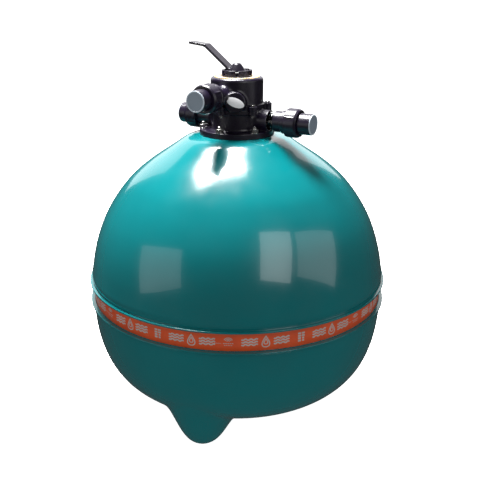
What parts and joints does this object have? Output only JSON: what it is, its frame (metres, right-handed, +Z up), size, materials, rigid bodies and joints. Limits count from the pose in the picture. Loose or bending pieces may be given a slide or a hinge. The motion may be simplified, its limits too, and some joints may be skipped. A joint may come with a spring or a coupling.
{
  "type": "pool sand filter tank",
  "caption": "Moulded spherical pool filter tank on lobed feet, with a waist band and a lever-operated multiport valve with union pipe ports on top.",
  "frame": {"origin": "on the floor under the tank's axis, at the height of the feet's flat bottoms", "axes": "+Z up along the tank's axis; +X along the return port, -X along the waste port, -Y along the pump port"},
  "size_m": [0.7599, 0.76, 0.949],
  "materials": {
    "tank_plastic": "glossy moulded teal, mirror-like highlights, faint ripple of the moulding",
    "band_print": null,
    "valve_plastic": "black injection-moulded plastic, satin gloss",
    "rotor_plastic": "dark moulded plastic",
    "lever_metal": "cast lever, black enamel",
    "stainless": "bright stainless steel",
    "brass": "turned brass",
    "rubber": "black rubber",
    "pipe_grey": "pale rigid plastic pipe",
    "nylon_white": "white bearing plastic",
    "label_white": "white printed label",
    "clear_glass": "clear transparent plastic",
    "plug_grey": "blue-grey plastic shipping plug with a pale rim"
  },
  "bodies": {
    "filter": {"tank_shell": "tank_plastic", "label_band": "band_print", "neck_inserts": "brass", "flange_studs": "stainless", "flange_washers": "stainless", "flange_nuts": "stainless", "flange_oring": "rubber", "standpipe": "pipe_grey", "standpipe_seal": "rubber", "lateral_hub": "pipe_grey", "lateral_1": "pipe_grey", "lateral_2": "pipe_grey", "lateral_3": "pipe_grey", "lateral_4": "pipe_grey", "lateral_5": "pipe_grey", "lateral_6": "pipe_grey", "lateral_7": "pipe_grey", "lateral_8": "pipe_grey", "top_diffuser": "pipe_grey", "drain_spigot": "valve_plastic", "drain_seal": "rubber", "valve_body": "valve_plastic", "valve_bonnet": "valve_plastic", "body_oring": "rubber", "spider_gasket": "rubber", "spring_washer": "stainless", "index_ring": "valve_plastic", "position_label": "label_white", "badge": "label_white", "joint_bolts": "stainless", "joint_nuts": "stainless", "sight_glass": "clear_glass", "glass_seals": "rubber", "return_inner_tail": "valve_plastic", "pump_tail": "valve_plastic", "return_tail": "valve_plastic", "waste_tail": "valve_plastic", "pump_union_oring": "rubber", "return_union_oring": "rubber", "waste_union_oring": "rubber"},
    "turret": {"slip_washer": "nylon_white", "spring": "stainless"},
    "stem": {"rotor": "rotor_plastic", "stem": "rotor_plastic", "stem_orings": "rubber", "handle_pin": "stainless"},
    "lever": {"lever": "lever_metal"},
    "pump_nut": {"pump_union_nut": "valve_plastic"},
    "return_nut": {"return_union_nut": "valve_plastic"},
    "waste_nut": {"waste_union_nut": "valve_plastic"},
    "pump_plug": {"pump_plug": "plug_grey"},
    "return_plug": {"return_plug": "plug_grey"},
    "waste_plug": {"waste_plug": "plug_grey"},
    "drain_cap": {"drain_cap": "valve_plastic"}
  },
  "joints": [
    {"name": "valve_turn", "type": "hinge", "parent": "filter", "child": "turret", "pos_m": [0, 0, 0.871], "axis": [0, 0, 1], "continuous": true},
    {"name": "stem_lift", "type": "slide", "parent": "turret", "child": "stem", "axis": [0, 0, 1], "range_m": [0, 0.0055], "deforming": ["spring"]},
    {"name": "lever_press", "type": "hinge", "parent": "stem", "child": "lever", "pos_m": [0, 0, 0.8882], "axis": [0, -1, 0], "range_deg": [0, 16], "stiffness_Nm_per_rad": 40, "springref_deg": -4.58},
    {"name": "pump_nut_turn", "type": "hinge", "parent": "filter", "child": "pump_nut", "pos_m": [0, -0.14, 0.8345], "axis": [0, -1, 0], "continuous": true},
    {"name": "return_nut_turn", "type": "hinge", "parent": "filter", "child": "return_nut", "pos_m": [0.157, 0, 0.7715], "axis": [1, 0, 0], "continuous": true},
    {"name": "waste_nut_turn", "type": "hinge", "parent": "filter", "child": "waste_nut", "pos_m": [-0.119, 0, 0.7715], "axis": [-1, 0, 0], "continuous": true},
    {"name": "pump_plug_pull", "type": "slide", "parent": "filter", "child": "pump_plug", "axis": [0, -1, 0], "range_m": [0, 0.03]},
    {"name": "return_plug_pull", "type": "slide", "parent": "filter", "child": "return_plug", "axis": [1, 0, 0], "range_m": [0, 0.03]},
    {"name": "waste_plug_pull", "type": "slide", "parent": "filter", "child": "waste_plug", "axis": [-1, 0, 0], "range_m": [0, 0.03]},
    {"name": "drain_cap_turn", "type": "hinge", "parent": "filter", "child": "drain_cap", "pos_m": [-0.0508, 0.36145, 0.15], "axis": [-0.1392, 0.9903, 0], "continuous": true}
  ],
  "couplings": [
    {"joint": "stem_lift", "follows": "lever_press", "m_per_rad": 0.019695}
  ]
}
